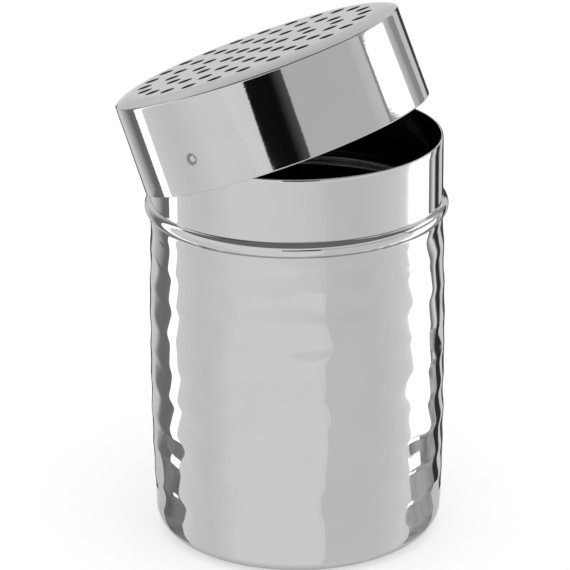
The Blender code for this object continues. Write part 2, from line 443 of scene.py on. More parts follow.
# %% [markdown]
# ## Hammer marks
#
# Each blow of a planishing hammer leaves a shallow bowl, and neighbouring bowls meet in
# soft ridges. A bump map would not do: the ridges show on the outline and where the
# reflections break up. Geometry Nodes put one point on the wall for each blow, in
# staggered rows with a little scatter, and every vertex moves in by a bowl that depends
# on how far away its nearest blow is. A bowl is wider than it is tall, so levels are
# stretched by Squash before that distance is taken. Blows differ in strength. Strength
# and bowl are both blurred, so neighbouring bowls meet without a step.

# %% The node tree that hammers the wall
HAMMER_INPUTS = [
    ("Geometry", "NodeSocketGeometry", None),
    ("Marks Round", "NodeSocketInt", MARKS_ROUND),
    ("Rows", "NodeSocketInt", MARK_ROWS),
    ("Wall Bottom", "NodeSocketFloat", BASE_CORNER_RADIUS),
    ("Wall Top", "NodeSocketFloat", WALL_HEIGHT),
    ("Wall Radius", "NodeSocketFloat", NECK_RADIUS + WALL_BULGE),
    ("Mark Radius", "NodeSocketFloat", 0.0120),
    ("Squash", "NodeSocketFloat", 2.05),
    ("Mark Depth", "NodeSocketFloat", 0.00050),
    ("Flatness", "NodeSocketFloat", 2.1),
    ("Raise", "NodeSocketFloat", 0.78),
    ("Scatter", "NodeSocketFloat", 0.0011),
    ("Edge Fade", "NodeSocketFloat", 0.0030),
    ("Seed", "NodeSocketInt", 7),
    ("Outside", "NodeSocketMaterial", None),
    ("Inside", "NodeSocketMaterial", None),
]
GEOMETRY_OUT = [("Geometry", "NodeSocketGeometry")]
WEAKEST_BLOW = 0.65
STRONGEST_BLOW = 1.25
RIDGE_SOFTENING = 4
STRENGTH_SOFTENING = 16


def sorted_sockets(node):
    """A group input's sockets by name."""
    return {socket.name: socket for socket in node.outputs if socket.name}


def blow_points(tree, given):
    """One point for each blow, in staggered rows round the wall."""
    count = calc(tree, "MULTIPLY", given["Marks Round"], given["Rows"])
    index = place(tree, "GeometryNodeInputIndex").outputs[0]
    row = calc(tree, "FLOOR", calc(tree, "DIVIDE", index, given["Marks Round"]))
    column = calc(tree, "FLOORED_MODULO", index, given["Marks Round"])
    stagger = calc(tree, "MULTIPLY", calc(tree, "FLOORED_MODULO", row, 2.0), 0.5)
    ends = ((-1, -1, -1), (1, 1, 1), None, given["Seed"])
    scatter = place(tree, "FunctionNodeRandomValue", *ends, data_type="FLOAT_VECTOR")
    loose = place(tree, "ShaderNodeSeparateXYZ", scatter.outputs[0])
    slide = calc(tree, "MULTIPLY", loose.outputs[0], given["Scatter"])
    slip = calc(tree, "DIVIDE", slide, given["Wall Radius"])
    place_round = calc(tree, "ADD", column, stagger)
    turns = calc(tree, "DIVIDE", place_round, given["Marks Round"])
    angle = calc(tree, "MULTIPLY_ADD", turns, math.tau, slip)
    span = calc(tree, "SUBTRACT", given["Wall Top"], given["Wall Bottom"])
    height = calc(tree, "DIVIDE", calc(tree, "ADD", row, 0.5), given["Rows"])
    level = calc(tree, "MULTIPLY_ADD", height, span, given["Wall Bottom"])
    drift = calc(tree, "MULTIPLY_ADD", loose.outputs[1], given["Scatter"], level)
    x, y = on_ring(tree, angle, given["Wall Radius"])
    tall = calc(tree, "MULTIPLY", drift, given["Squash"])
    point = place(tree, "ShaderNodeCombineXYZ", x, y, tall)
    return place(tree, "GeometryNodePoints", count, point.outputs[0]).outputs[0]


def height_and_flat(tree):
    """The vertex's level, and its place with the level taken out."""
    here = place(tree, "GeometryNodeInputPosition").outputs[0]
    parts = place(tree, "ShaderNodeSeparateXYZ", here)
    flat = place(tree, "ShaderNodeCombineXYZ", parts.outputs[0], parts.outputs[1], 0.0)
    return parts.outputs[2], flat.outputs[0]


def outward(tree, length):
    """A vector of this length that points away from the axis."""
    _, flat = height_and_flat(tree)
    unit = place(tree, "ShaderNodeVectorMath", flat, operation="NORMALIZE").outputs[0]
    scaled = place(tree, "ShaderNodeVectorMath", unit, operation="SCALE")
    tree.links.new(length, scaled.inputs["Scale"])
    return scaled.outputs[0]


def on_surface(tree, radius, squash):
    """The vertex's place on a plain cylinder of this radius, with its level scaled."""
    level, _ = height_and_flat(tree)
    tall = calc(tree, "MULTIPLY", level, squash)
    lift = place(tree, "ShaderNodeCombineXYZ", 0.0, 0.0, tall).outputs[0]
    both = (outward(tree, radius), lift)
    return place(tree, "ShaderNodeVectorMath", *both, operation="ADD").outputs[0]


def bowl_at(tree, centres, target, radius, flatness):
    """1 at the nearest centre, falling to 0 at the bowl's radius."""
    nearest = place(
        tree, "GeometryNodeProximity", centres, None, target, target_element="POINTS"
    )
    reach = calc(tree, "DIVIDE", nearest.outputs["Distance"], radius)
    bowl = calc(tree, "SUBTRACT", 1.0, calc(tree, "POWER", reach, flatness))
    return calc(tree, "MAXIMUM", bowl, 0.0)


def press_in(tree, geometry, depth):
    """Move every vertex towards the axis by this depth."""
    offset = outward(tree, calc(tree, "MULTIPLY", depth, -1.0))
    moved = place(tree, "GeometryNodeSetPosition", geometry, None, None, offset)
    return moved.outputs[0]


def hammer_tree():
    """Press a bowl into the wall under each blow."""
    tree, group_in, group_out = new_tree(
        "hammer_the_wall", "GeometryNodeTree", HAMMER_INPUTS, GEOMETRY_OUT
    )
    given = sorted_sockets(group_in)
    blows = blow_points(tree, given)
    level, _ = height_and_flat(tree)
    target = on_surface(tree, given["Wall Radius"], given["Squash"])
    which = place(tree, "GeometryNodeSampleNearest", blows, target).outputs[0]
    ends = (WEAKEST_BLOW, STRONGEST_BLOW, which, given["Seed"])
    strength = place(tree, "FunctionNodeRandomValue", *ends, data_type="FLOAT")
    bowl = bowl_at(tree, blows, target, given["Mark Radius"], given["Flatness"])
    even = place(
        tree, "GeometryNodeBlurAttribute", strength.outputs[1], STRENGTH_SOFTENING
    )
    blow = calc(tree, "MULTIPLY", bowl, even.outputs[0])
    soft = place(tree, "GeometryNodeBlurAttribute", blow, RIDGE_SOFTENING)
    below = calc(tree, "SUBTRACT", given["Wall Top"], level)
    above = calc(tree, "SUBTRACT", level, given["Wall Bottom"])
    edge = calc(tree, "DIVIDE", calc(tree, "MINIMUM", below, above), given["Edge Fade"])
    fade = place(tree, "ShaderNodeMapRange", edge, 0.0, 1.0, 0.0, 1.0)
    fade.interpolation_type = "SMOOTHSTEP"
    sunk = calc(tree, "SUBTRACT", soft.outputs[0], given["Raise"])
    deep = calc(tree, "MULTIPLY", sunk, fade.outputs[0])
    push = calc(tree, "MULTIPLY", deep, given["Mark Depth"])
    pressed = press_in(tree, given["Geometry"], push)
    real = place(tree, "GeometryNodeRealizeInstances", pressed)
    tree.links.new(both_steels(tree, real.outputs[0], given), group_out.inputs[0])
    return tree


def both_steels(tree, geometry, given):
    """Give the outside and the inside of the sheet their steels."""
    flag = place(tree, "GeometryNodeInputNamedAttribute", INSIDE, data_type="BOOLEAN")
    outside = place(tree, "GeometryNodeSetMaterial", geometry)
    tree.links.new(given["Outside"], outside.inputs["Material"])
    inside = place(tree, "GeometryNodeSetMaterial", outside.outputs[0])
    tree.links.new(flag.outputs[0], inside.inputs["Selection"])
    tree.links.new(given["Inside"], inside.inputs["Material"])
    return inside.outputs[0]


hammer = hammer_tree()
print("tree", hammer.name, "with", len(hammer.nodes), "nodes")

# %% [markdown]
# ## Running a tree on a piece
#
# A modifier's inputs are set by each socket's identifier, before the first evaluation.
# The evaluated result then becomes a plain mesh, and the modifier goes.

# %% Run a node tree and keep its result
def apply_tree(piece, tree, values):
    """Put the tree on the piece with these input values, and keep the mesh it makes."""
    modifier = piece.modifiers.new(tree.name, "NODES")
    modifier.node_group = tree
    for socket in tree.interface.items_tree:
        if socket.in_out == "INPUT" and socket.name in values:
            modifier[socket.identifier] = values[socket.name]
    graph = bpy.context.evaluated_depsgraph_get()
    mesh = bpy.data.meshes.new_from_object(piece.evaluated_get(graph))
    piece.modifiers.clear()
    piece.data = mesh
    return mesh


def make_cup():
    """Turn the cup and hammer its wall."""
    columns = even_angles(MARKS_ROUND * COLUMNS_PER_MARK)
    cup = turn("hammered_cup", cup_outline, columns, cup_inside_rows)
    apply_tree(cup, hammer, {"Outside": hammered_steel, "Inside": drawn_steel})
    return cup


cup = make_cup()
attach(cup, "body")
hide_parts("shaker_body")
print("cup:", len(cup.data.polygons), "faces")

# %% [markdown]
# ## The lid's outline
#
# The skirt, the sloping shoulder and the edge are turned. The flat plate with the holes
# is made afterwards and closes the two open rings that the outline leaves, one on the
# outside and one a sheet's thickness below it. The skirt needs close lines only where
# the grip dimples are.

# %% The outline of the lid
GRIP_DIMPLES = 3
GRIP_LEVEL = 0.0080
GRIP_RADIUS = 0.0015
GRIP_DEPTH = 0.00048
GRIP_SPACING = 0.00018
SKIRT_STEP = 0.0012
PLATE_MARGIN = 0.0004
COLUMN_STEP = math.radians(1.25)
GRIP_SURROUND = 1.15
OUTER_SHOULDER_STEPS = 10
OUTER_CORNER_STEPS = 8
INNER_CORNER_STEPS = 6
INNER_SHOULDER_STEPS = 8
EDGE_STEPS = 6


def skirt_radius(level):
    """Outer radius of the skirt, drafted towards the top."""
    return LID_RADIUS - LID_DRAFT * level / SKIRT_TOP


def close_near(low, high, step, centre, reach, close_step):
    """Values from low to high by a wide step, with close ones round the centre."""
    values = []
    value = low
    while value < high - close_step:
        values.append(value)
        near = abs(value + step / 2 - centre) < reach + step / 2
        value += close_step if near else step
    return values + [high]


edge_half = LID_SHEET / 2
grip_reach = GRIP_RADIUS * GRIP_SURROUND
levels = close_near(
    edge_half, SKIRT_TOP, SKIRT_STEP, GRIP_LEVEL, grip_reach, GRIP_SPACING
)
lid_outer = [(skirt_radius(level), level) for level in levels[::-1]]
lid_inner = [(skirt_radius(level) - LID_SHEET, level) for level in levels]
corner = (LID_TOP_RADIUS - LID_CORNER_RADIUS, SKIRT_TOP)
slope = (LID_FLAT_RADIUS, LID_HEIGHT - SHOULDER_RADIUS)
meet = 90 - SHOULDER_TURN
shoulder_out = arc(slope, SHOULDER_RADIUS, 90, meet, OUTER_SHOULDER_STEPS)[:-1]
shoulder_out += arc(corner, LID_CORNER_RADIUS, meet, 0, OUTER_CORNER_STEPS)[:-1]
inner_corner = LID_CORNER_RADIUS - LID_SHEET
shoulder_in = arc(corner, inner_corner, 0, meet, INNER_CORNER_STEPS)[1:]
inner_slope = SHOULDER_RADIUS - LID_SHEET
shoulder_in += arc(slope, inner_slope, meet, 90, INNER_SHOULDER_STEPS)[1:]
edge_centre = (LID_RADIUS - edge_half, edge_half)
edge = arc(edge_centre, edge_half, 0, -180, EDGE_STEPS)[1:-1]
plate_start = (LID_FLAT_RADIUS - PLATE_MARGIN, LID_HEIGHT)
plate_end = (LID_FLAT_RADIUS - PLATE_MARGIN, LID_HEIGHT - LID_SHEET)
outer_side = [plate_start] + shoulder_out + lid_outer
inner_side = lid_inner + shoulder_in + [plate_end]
lid_outline = with_supports(outer_side + edge + inner_side)
lid_inside_rows = (lid_outline.index(edge[len(edge) // 2]), len(lid_outline))
print(len(lid_outline), "rings in the lid")

# %% [markdown]
# ## The lid's columns
#
# Round the lid, too, the columns are close only at the three dimples, so one third of a
# turn is worked out and repeated.

# %% The lid's columns
sector = math.tau / GRIP_DIMPLES
one_sector = close_near(
    -sector / 2, sector / 2, COLUMN_STEP, 0, grip_reach / LID_RADIUS, GRIP_SPACING / LID_RADIUS
)[:-1]
lid_angles = [
    LID_TURN + sector * index + angle for index in range(GRIP_DIMPLES) for angle in one_sector
]
print(len(lid_angles), "columns round the lid")

# %% [markdown]
# ## A pour hole's lip
#
# The holes are punched, so the sheet draws in a little at the top edge. One lip, a
# turned ring of the sheet's thickness with rounded edges, is made once, and is copied
# to every hole later.

# %% One lip
HOLE_RADIUS = 0.0017
HOLE_PITCH = 0.0069
HOLE_RINGS = 4
HOLES_PER_RING_STEP = 6
LIP_RADIUS = 0.00010
LIP_MARGIN = 0.00005
OPENING = HOLE_RADIUS + LIP_RADIUS + LIP_MARGIN
HOLE_SIDES = 28
LIP_STEPS = 4


def make_lip():
    """The wall of one hole, from the plate's top side to its under side."""
    outline = arc((HOLE_RADIUS + LIP_RADIUS, -LIP_RADIUS), LIP_RADIUS, 90, 180, LIP_STEPS)
    low = (HOLE_RADIUS + LIP_RADIUS, LIP_RADIUS - LID_SHEET)
    outline += arc(low, LIP_RADIUS, 180, 270, LIP_STEPS)
    outline = [(OPENING, 0.0)] + outline + [(OPENING, -LID_SHEET)]
    return turn("hole_lip", outline[::-1], even_angles(HOLE_SIDES))


lip = make_lip()
print("one lip:", len(lip.data.polygons), "faces")

# %% [markdown]
# ## The perforated plate
#
# The holes lie in rings of 6, 12, 18 and 24 round a middle one. Geometry Nodes set a lip
# at each place and fill the plate between the lips and the open ring of the skirt, once
# for each side of the sheet. The last step merges everything into one closed skin.

# %% The node tree that makes the plate with its holes
PLATE_INPUTS = [
    ("Geometry", "NodeSocketGeometry", None),
    ("Lip", "NodeSocketObject", None),
    ("Pitch", "NodeSocketFloat", HOLE_PITCH),
    ("Rings", "NodeSocketInt", HOLE_RINGS),
    ("Holes Per Step", "NodeSocketInt", HOLES_PER_RING_STEP),
    ("Turn", "NodeSocketFloat", LID_TURN),
    ("Opening", "NodeSocketFloat", OPENING),
    ("Sides", "NodeSocketInt", HOLE_SIDES),
    ("Plate Level", "NodeSocketFloat", LID_HEIGHT),
    ("Sheet", "NodeSocketFloat", LID_SHEET),
    ("Outside", "NodeSocketMaterial", None),
    ("Inside", "NodeSocketMaterial", None),
    ("Lip Painted Shade", "NodeSocketMaterial", None),
]
MERGE_DISTANCE = 0.000002
COUNT_TOLERANCE = 0.1


def hole_points(tree, given):
    """A centre hole, then rings of 6, 12, 18 and so on, all from the same ray."""
    step = given["Holes Per Step"]
    rings = given["Rings"]
    held = calc(tree, "MULTIPLY", rings, calc(tree, "ADD", rings, 1.0))
    count = calc(tree, "MULTIPLY_ADD", held, calc(tree, "MULTIPLY", step, 0.5), 1.0)
    index = place(tree, "GeometryNodeInputIndex").outputs[0]
    share = calc(tree, "DIVIDE", calc(tree, "SUBTRACT", index, 0.5), step)
    root = calc(tree, "SQRT", calc(tree, "MULTIPLY_ADD", share, 8.0, 1.0))
    ring = calc(tree, "CEIL", calc(tree, "MULTIPLY_ADD", root, 0.5, -0.5))
    ring = calc(tree, "MAXIMUM", ring, 0.0)
    before = calc(tree, "MULTIPLY", ring, calc(tree, "SUBTRACT", ring, 1.0))
    first = calc(tree, "MULTIPLY_ADD", before, calc(tree, "MULTIPLY", step, 0.5), 1.0)
    along = calc(tree, "DIVIDE", calc(tree, "SUBTRACT", index, first), step)
    turns = calc(tree, "DIVIDE", along, ring)
    angle = calc(tree, "MULTIPLY_ADD", turns, math.tau, given["Turn"])
    x, y = on_ring(tree, angle, calc(tree, "MULTIPLY", ring, given["Pitch"]))
    point = place(tree, "ShaderNodeCombineXYZ", x, y, given["Plate Level"])
    return place(tree, "GeometryNodePoints", count, point.outputs[0]).outputs[0]


def plate_rim(tree, given):
    """The open ring on the skirt's outer side, as a curve."""
    level, _ = height_and_flat(tree)
    faces = place(tree, "GeometryNodeInputMeshEdgeNeighbors").outputs[0]
    middle = calc(tree, "MULTIPLY_ADD", given["Sheet"], -0.5, given["Plate Level"])
    upper = calc(tree, "GREATER_THAN", level, middle)
    single = calc(tree, "COMPARE", faces, 1.0, COUNT_TOLERANCE)
    chosen = calc(tree, "MULTIPLY", upper, single)
    return place(tree, "GeometryNodeMeshToCurve", given["Geometry"], chosen).outputs[0]


def lifted(tree, geometry, level):
    """The geometry, moved up by this much."""
    offset = place(tree, "ShaderNodeCombineXYZ", 0.0, 0.0, level).outputs[0]
    moved = place(tree, "GeometryNodeSetPosition", geometry, None, None, offset)
    return moved.outputs[0]


def join(tree, *parts):
    """Join geometries. The node's one input takes all the links."""
    node = tree.nodes.new("GeometryNodeJoinGeometry")
    for part in parts:
        tree.links.new(part, node.inputs[0])
    return node.outputs[0]


def plate_tree():
    """Fill the plate between its rim and the holes, on both sides of the sheet."""
    tree, group_in, group_out = new_tree(
        "perforated_plate", "GeometryNodeTree", PLATE_INPUTS, GEOMETRY_OUT
    )
    given = sorted_sockets(group_in)
    centres = hole_points(tree, given)
    sizes = (given["Sides"], given["Opening"])
    circle = place(tree, "GeometryNodeCurvePrimitiveCircle", *sizes).outputs[0]
    circles = place(tree, "GeometryNodeInstanceOnPoints", centres, None, circle)
    rings = place(tree, "GeometryNodeRealizeInstances", circles.outputs[0]).outputs[0]
    outline = join(tree, plate_rim(tree, given), rings)
    filled = place(tree, "GeometryNodeFillCurve", outline)
    top = lifted(tree, filled.outputs[0], given["Plate Level"])
    flipped = place(tree, "GeometryNodeFlipFaces", filled.outputs[0]).outputs[0]
    under_level = calc(tree, "SUBTRACT", given["Plate Level"], given["Sheet"])
    under = place(
        tree,
        "GeometryNodeStoreNamedAttribute",
        lifted(tree, flipped, under_level),
        data_type="BOOLEAN",
        domain="FACE",
    )
    fill(under, {"Name": INSIDE, "Value": True})
    source = place(tree, "GeometryNodeObjectInfo", given["Lip"])
    pattern = source.outputs["Geometry"]
    lips = place(tree, "GeometryNodeInstanceOnPoints", centres, None, pattern)
    sheets = join(tree, given["Geometry"], top, under.outputs[0])
    coated = both_steels(tree, sheets, given)
    # The lips take the near-black steel, which is painted shade.
    punched = place(tree, "GeometryNodeSetMaterial", lips.outputs[0])
    tree.links.new(given["Lip Painted Shade"], punched.inputs["Material"])
    whole = join(tree, coated, punched.outputs[0])
    real = place(tree, "GeometryNodeRealizeInstances", whole)
    merged = place(tree, "GeometryNodeMergeByDistance", real.outputs[0])
    fill(merged, {"Distance": MERGE_DISTANCE})
    smooth = place(tree, "GeometryNodeSetShadeSmooth", merged.outputs[0])
    tree.links.new(smooth.outputs[0], group_out.inputs[0])
    return tree


plate = plate_tree()
print("tree", plate.name, "with", len(plate.nodes), "nodes")

# %% [markdown]
# ## Grip dimples
#
# Three small dimples are pressed into the skirt. Inside they rub on the neck, which
# keeps a pushed-on lid from falling off. They are the same kind of bowl as a hammer
# mark, but small and on their own, so the tree is a shorter form of that one. The ring
# of faces on a dimple's flank gets a dark steel, which is painted shade.

# %% The node tree that presses the dimples
GRIP_INPUTS = [
    ("Geometry", "NodeSocketGeometry", None),
    ("Dimples", "NodeSocketInt", GRIP_DIMPLES),
    ("Turn", "NodeSocketFloat", LID_TURN),
    ("Skirt Radius", "NodeSocketFloat", skirt_radius(GRIP_LEVEL)),
    ("Level", "NodeSocketFloat", GRIP_LEVEL),
    ("Radius", "NodeSocketFloat", GRIP_RADIUS),
    ("Depth", "NodeSocketFloat", GRIP_DEPTH),
    ("Ring Painted Shade", "NodeSocketMaterial", None),
]
GRIP_FLATNESS = 2.0
GRIP_SHARPNESS = 2.0
RING_MIDDLE = 0.45
RING_HALF_WIDTH = 0.35


def grip_tree():
    """Press a bowl into the skirt at each dimple."""
    tree, group_in, group_out = new_tree(
        "press_the_grips", "GeometryNodeTree", GRIP_INPUTS, GEOMETRY_OUT
    )
    given = sorted_sockets(group_in)
    index = place(tree, "GeometryNodeInputIndex").outputs[0]
    turns = calc(tree, "DIVIDE", index, given["Dimples"])
    angle = calc(tree, "MULTIPLY_ADD", turns, math.tau, given["Turn"])
    x, y = on_ring(tree, angle, given["Skirt Radius"])
    point = place(tree, "ShaderNodeCombineXYZ", x, y, given["Level"])
    grips = place(tree, "GeometryNodePoints", given["Dimples"], point.outputs[0])
    target = on_surface(tree, given["Skirt Radius"], 1.0)
    bowl = bowl_at(tree, grips.outputs[0], target, given["Radius"], GRIP_FLATNESS)
    sharp = calc(tree, "POWER", bowl, GRIP_SHARPNESS)
    push = calc(tree, "MULTIPLY", sharp, given["Depth"])
    pressed = press_in(tree, given["Geometry"], push)
    real = place(tree, "GeometryNodeRealizeInstances", pressed)
    # The ring on the flank takes the dark steel, which is painted shade.
    flank = calc(tree, "COMPARE", bowl, RING_MIDDLE, RING_HALF_WIDTH)
    shaded_ring = place(tree, "GeometryNodeSetMaterial", real.outputs[0], flank)
    tree.links.new(given["Ring Painted Shade"], shaded_ring.inputs["Material"])
    tree.links.new(shaded_ring.outputs[0], group_out.inputs[0])
    return tree


grips = grip_tree()
print("tree", grips.name, "with", len(grips.nodes), "nodes")

# %% [markdown]
# ## The whole lid
#
# The plate comes first, because it closes the skin. The dimples are pressed while the
# lid is still level, and then one matrix tips it all.

# %% Make the lid and tip it
def make_lid():
    """Turn the skirt, press the dimples, fill the plate and tip the whole lid."""
    lid = turn("perforated_lid_skin", lid_outline, lid_angles, lid_inside_rows)
    steels = {"Outside": lid_steel, "Inside": lid_inside_steel}
    apply_tree(lid, plate, {"Lip": lip, "Lip Painted Shade": lip_painted_shade_steel, **steels})
    apply_tree(lid, grips, {"Ring Painted Shade": dimple_painted_shade_steel})
    lid.data.transform(lid_place)
    return lid


lid = make_lid()
bpy.data.objects.remove(lip)
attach(lid, "lid")
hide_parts("perforated_lid")
print("lid:", len(lid.data.polygons), "faces")

# %% [markdown]
# ## The camera
#
# The photograph is taken with a long lens from a little above. The camera stands on a
# line through the shaker's axis, looks at a point on that axis, and is rolled by less
# than half a degree.

# %% Place the camera
CAMERA_AZIMUTH = math.radians(23.45)
CAMERA_ELEVATION = math.radians(20.467)
CAMERA_ROLL = math.radians(-0.439)
CAMERA_DISTANCE = 0.7601
CAMERA_LENS = 199.4
SENSOR_WIDTH = 36.0
CLIP_START = 0.05
AIM_SIDE = -0.00291
AIM_LEVEL = 0.06118


def make_camera():
    """The camera at the photograph's viewing angle."""
    data = bpy.data.cameras.new("camera")
    data.lens = CAMERA_LENS
    data.sensor_width = SENSOR_WIDTH
    data.clip_start = CLIP_START
    camera = add_object("camera", data)
    reach = math.cos(CAMERA_ELEVATION)
    back = Vector((math.sin(CAMERA_AZIMUTH) * reach, -math.cos(CAMERA_AZIMUTH) * reach, 0))
    back.z = math.sin(CAMERA_ELEVATION)
    side = Vector((math.cos(CAMERA_AZIMUTH), math.sin(CAMERA_AZIMUTH), 0))
    aim = side * AIM_SIDE + Vector((0, 0, AIM_LEVEL))
    camera.location = aim + back * CAMERA_DISTANCE
    level = (-back).to_track_quat("-Z", "Y")
    camera.rotation_mode = "QUATERNION"
    camera.rotation_quaternion = level @ Quaternion((0, 0, 1), CAMERA_ROLL)
    bpy.context.scene.camera = camera
    return camera


camera = make_camera()
print("camera at", [round(value, 3) for value in camera.location])

# %% [markdown]
# ## The studio
#
# Polished steel is a picture of the room, so the room is designed as a photographer
# designs it: a white floor and a white surround, two tall white strips, and dark and
# grey cards that draw the edges. The floor, the surround and one soft lamp come first.

# %% Floor, world and lamp
FLOOR_SIZE = 6.0
FLOOR_LEVEL = -0.0001
FLOOR_GREY = 0.80
FLOOR_ROUGHNESS = 0.9
WHITENER = 0.40
WORLD_LIGHT = 0.75
LAMP_PLACE = (0.2, -0.3, 1.0)
LAMP_SIZE = 0.8
LAMP_POWER = 1.2


def seen_directly(tree):
    """1 for rays from the camera, from a reflection or through glass, else 0."""
    path = place(tree, "ShaderNodeLightPath")
    seen = calc(
        tree, "MAXIMUM", path.outputs["Is Camera Ray"], path.outputs["Is Glossy Ray"]
    )
    return calc(tree, "MAXIMUM", seen, path.outputs["Is Transmission Ray"])


def glow(name, brightness):
    """A material that shows one plain brightness, and its node tree and shader."""
    material = bpy.data.materials.new(name)
    material.use_nodes = True
    shader = material.node_tree.nodes["Principled BSDF"]
    fill(shader, {"Base Color": opaque(0.0), "Specular IOR Level": 0.0})
    fill(shader, {"Emission Color": opaque(1.0), "Emission Strength": brightness})
    return material, material.node_tree, shader


def make_floor():
    """A pale floor that turns white in the picture and keeps the shadow."""
    mesh_tool = bmesh.new()
    bmesh.ops.create_grid(mesh_tool, x_segments=1, y_segments=1, size=FLOOR_SIZE / 2)
    mesh = bpy.data.meshes.new("studio_floor")
    mesh_tool.to_mesh(mesh)
    mesh_tool.free()
    floor = add_object("studio_floor", mesh)
    floor.location.z = FLOOR_LEVEL
    material, tree, shader = glow("white_paper", 0.0)
    fill(shader, {"Base Color": opaque(FLOOR_GREY), "Roughness": FLOOR_ROUGHNESS})
    lift = calc(tree, "MULTIPLY", seen_directly(tree), WHITENER)
    tree.links.new(lift, shader.inputs["Emission Strength"])
    mesh.materials.append(material)


def make_world():
    """White wherever it is seen, and a softer light on everything."""
    world = bpy.data.worlds.new("studio_world")
    world.use_nodes = True
    tree = world.node_tree
    background = tree.nodes["Background"]
    fill(background, {"Color": opaque(1.0)})
    ends = (0.0, 1.0, WORLD_LIGHT, 1.0)
    light = place(tree, "ShaderNodeMapRange", seen_directly(tree), *ends)
    tree.links.new(light.outputs[0], background.inputs["Strength"])
    bpy.context.scene.world = world


def make_lamp(name, location, size, power):
    """A square soft lamp that points at the shaker and doesn't show in the steel."""
    data = bpy.data.lights.new(name, "AREA")
    data.size = size
    data.energy = power
    lamp = add_object(name, data)
    lamp.location = location
    aim = Vector((0, 0, BEAD_LEVEL)) - lamp.location
    lamp.rotation_euler = aim.to_track_quat("-Z", "Y").to_euler()
    lamp.visible_glossy = False


make_floor()
make_world()
make_lamp("overhead_lamp", LAMP_PLACE, LAMP_SIZE, LAMP_POWER)
print("floor, world and one lamp")

# %% [markdown]
# ## Cards that only the steel sees
#
# A card is placed by the mirror rule. Seen from the camera, the point of the neck whose
# face is turned by half an angle shows what lies in the direction of the whole angle. A
# card's edges follow such rays, so in the neck they show as upright lines. Its columns
# are close enough together to follow the curve.

# %% Where a reflection goes
COLUMN_DEGREES = 5.0
HIDDEN_FROM = ("camera", "diffuse", "transmission", "volume_scatter", "shadow")


def mirror_point(azimuth, distance, level):
    """Where the neck's reflection towards this azimuth has got to at a distance."""
    face = CAMERA_AZIMUTH + math.radians(azimuth) / 2
    away = CAMERA_AZIMUTH + math.radians(azimuth)
    x = NECK_RADIUS * math.sin(face) + distance * math.sin(away)
    y = -NECK_RADIUS * math.cos(face) - distance * math.cos(away)
    return (x, y, level)


def share_of_turn(azimuth):
    """A card's U for an azimuth in degrees: 0.5 is the camera's side."""
    return azimuth / 360 + 0.5


def make_card(name, first, last, near, far, low, high):
    """A card that only reflections see. Its U is the azimuth, its V runs outwards.

    A level may be a pair, for a card whose edge slopes.
    """
    feet = low if isinstance(low, tuple) else (low, low)
    tops = high if isinstance(high, tuple) else (high, high)
    count = max(1, round((last - first) / COLUMN_DEGREES))
    card = bmesh.new()
    layer = card.loops.layers.uv.new("azimuth_and_reach")
    columns = []
    for index in range(count + 1):
        share = index / count
        azimuth = first + (last - first) * share
        base = feet[0] + (feet[1] - feet[0]) * share
        top = tops[0] + (tops[1] - tops[0]) * share
        foot = card.verts.new(mirror_point(azimuth, near, base))
        head = card.verts.new(mirror_point(azimuth, far, top))
        columns.append((share_of_turn(azimuth), foot, head))
    for (u, foot, head), (next_u, next_foot, next_head) in zip(columns, columns[1:]):
        face = card.faces.new((foot, next_foot, next_head, head))
        corners = ((u, 0), (next_u, 0), (next_u, 1), (u, 1))
        for loop, corner_uv in zip(face.loops, corners):
            loop[layer].uv = corner_uv
    mesh = bpy.data.meshes.new(name)
    card.to_mesh(mesh)
    card.free()
    piece = add_object(name, mesh)
    for kind in HIDDEN_FROM:
        setattr(piece, "visible_" + kind, False)
    return piece


print("card helpers ready")

# %% [markdown]
# ## Uneven cards
#
# Real cards, papers and strips are never evenly lit. A card's brightness is one number,
# or it changes round the shaker, or upwards, or in blotches. Each is a few nodes on the
# card's own UV map or on its Object coordinates.

# %% Brightness over a card
BRIGHTEST = 2.0
BLOTCHES_PER_METRE = 60.0
BLOTCH_DETAIL = 6.0
BLOTCH_ENDS = (0.32, 0.68)


def tone_ramp(tree, u, tones):
    """Tones over the azimuth, as shares of the brightest, since a ramp ends at 1."""
    ramp = place(tree, "ShaderNodeValToRGB", u)
    stops = ramp.color_ramp.elements
    while len(stops) < len(tones):
        stops.new(0.5)
    for stop, (azimuth, tone) in zip(stops, tones):
        stop.position = share_of_turn(azimuth)
    for stop, (azimuth, tone) in zip(stops, tones):
        stop.color = opaque(tone / BRIGHTEST)
    return ramp.outputs[0]


def card_material(name, brightness):
    """One number is a plain card; otherwise the first word tells how it varies."""
    if isinstance(brightness, float):
        return glow(name, brightness)[0]
    kind, *values = brightness
    material, tree, shader = glow(name, 1.0)
    uv = place(tree, "ShaderNodeUVMap", uv_map="azimuth_and_reach").outputs[0]
    parts = place(tree, "ShaderNodeSeparateXYZ", uv)
    if kind == "round":
        ramp = tone_ramp(tree, parts.outputs[0], values)
        tone = calc(tree, "MULTIPLY", ramp, BRIGHTEST)
    elif kind == "up":
        ends = (0.0, 1.0, *values)
        tone = place(tree, "ShaderNodeMapRange", parts.outputs[1], *ends).outputs[0]
    else:
        where = place(tree, "ShaderNodeTexCoord").outputs["Object"]
        blotches = place(tree, "ShaderNodeTexNoise", where)
        fill(blotches, {"Scale": BLOTCHES_PER_METRE, "Detail": BLOTCH_DETAIL})
        ends = (*BLOTCH_ENDS, *values)
        tone = place(tree, "ShaderNodeMapRange", blotches.outputs[0], *ends).outputs[0]
    tree.links.new(tone, shader.inputs["Emission Strength"])
    return material


print("shaded card materials ready")
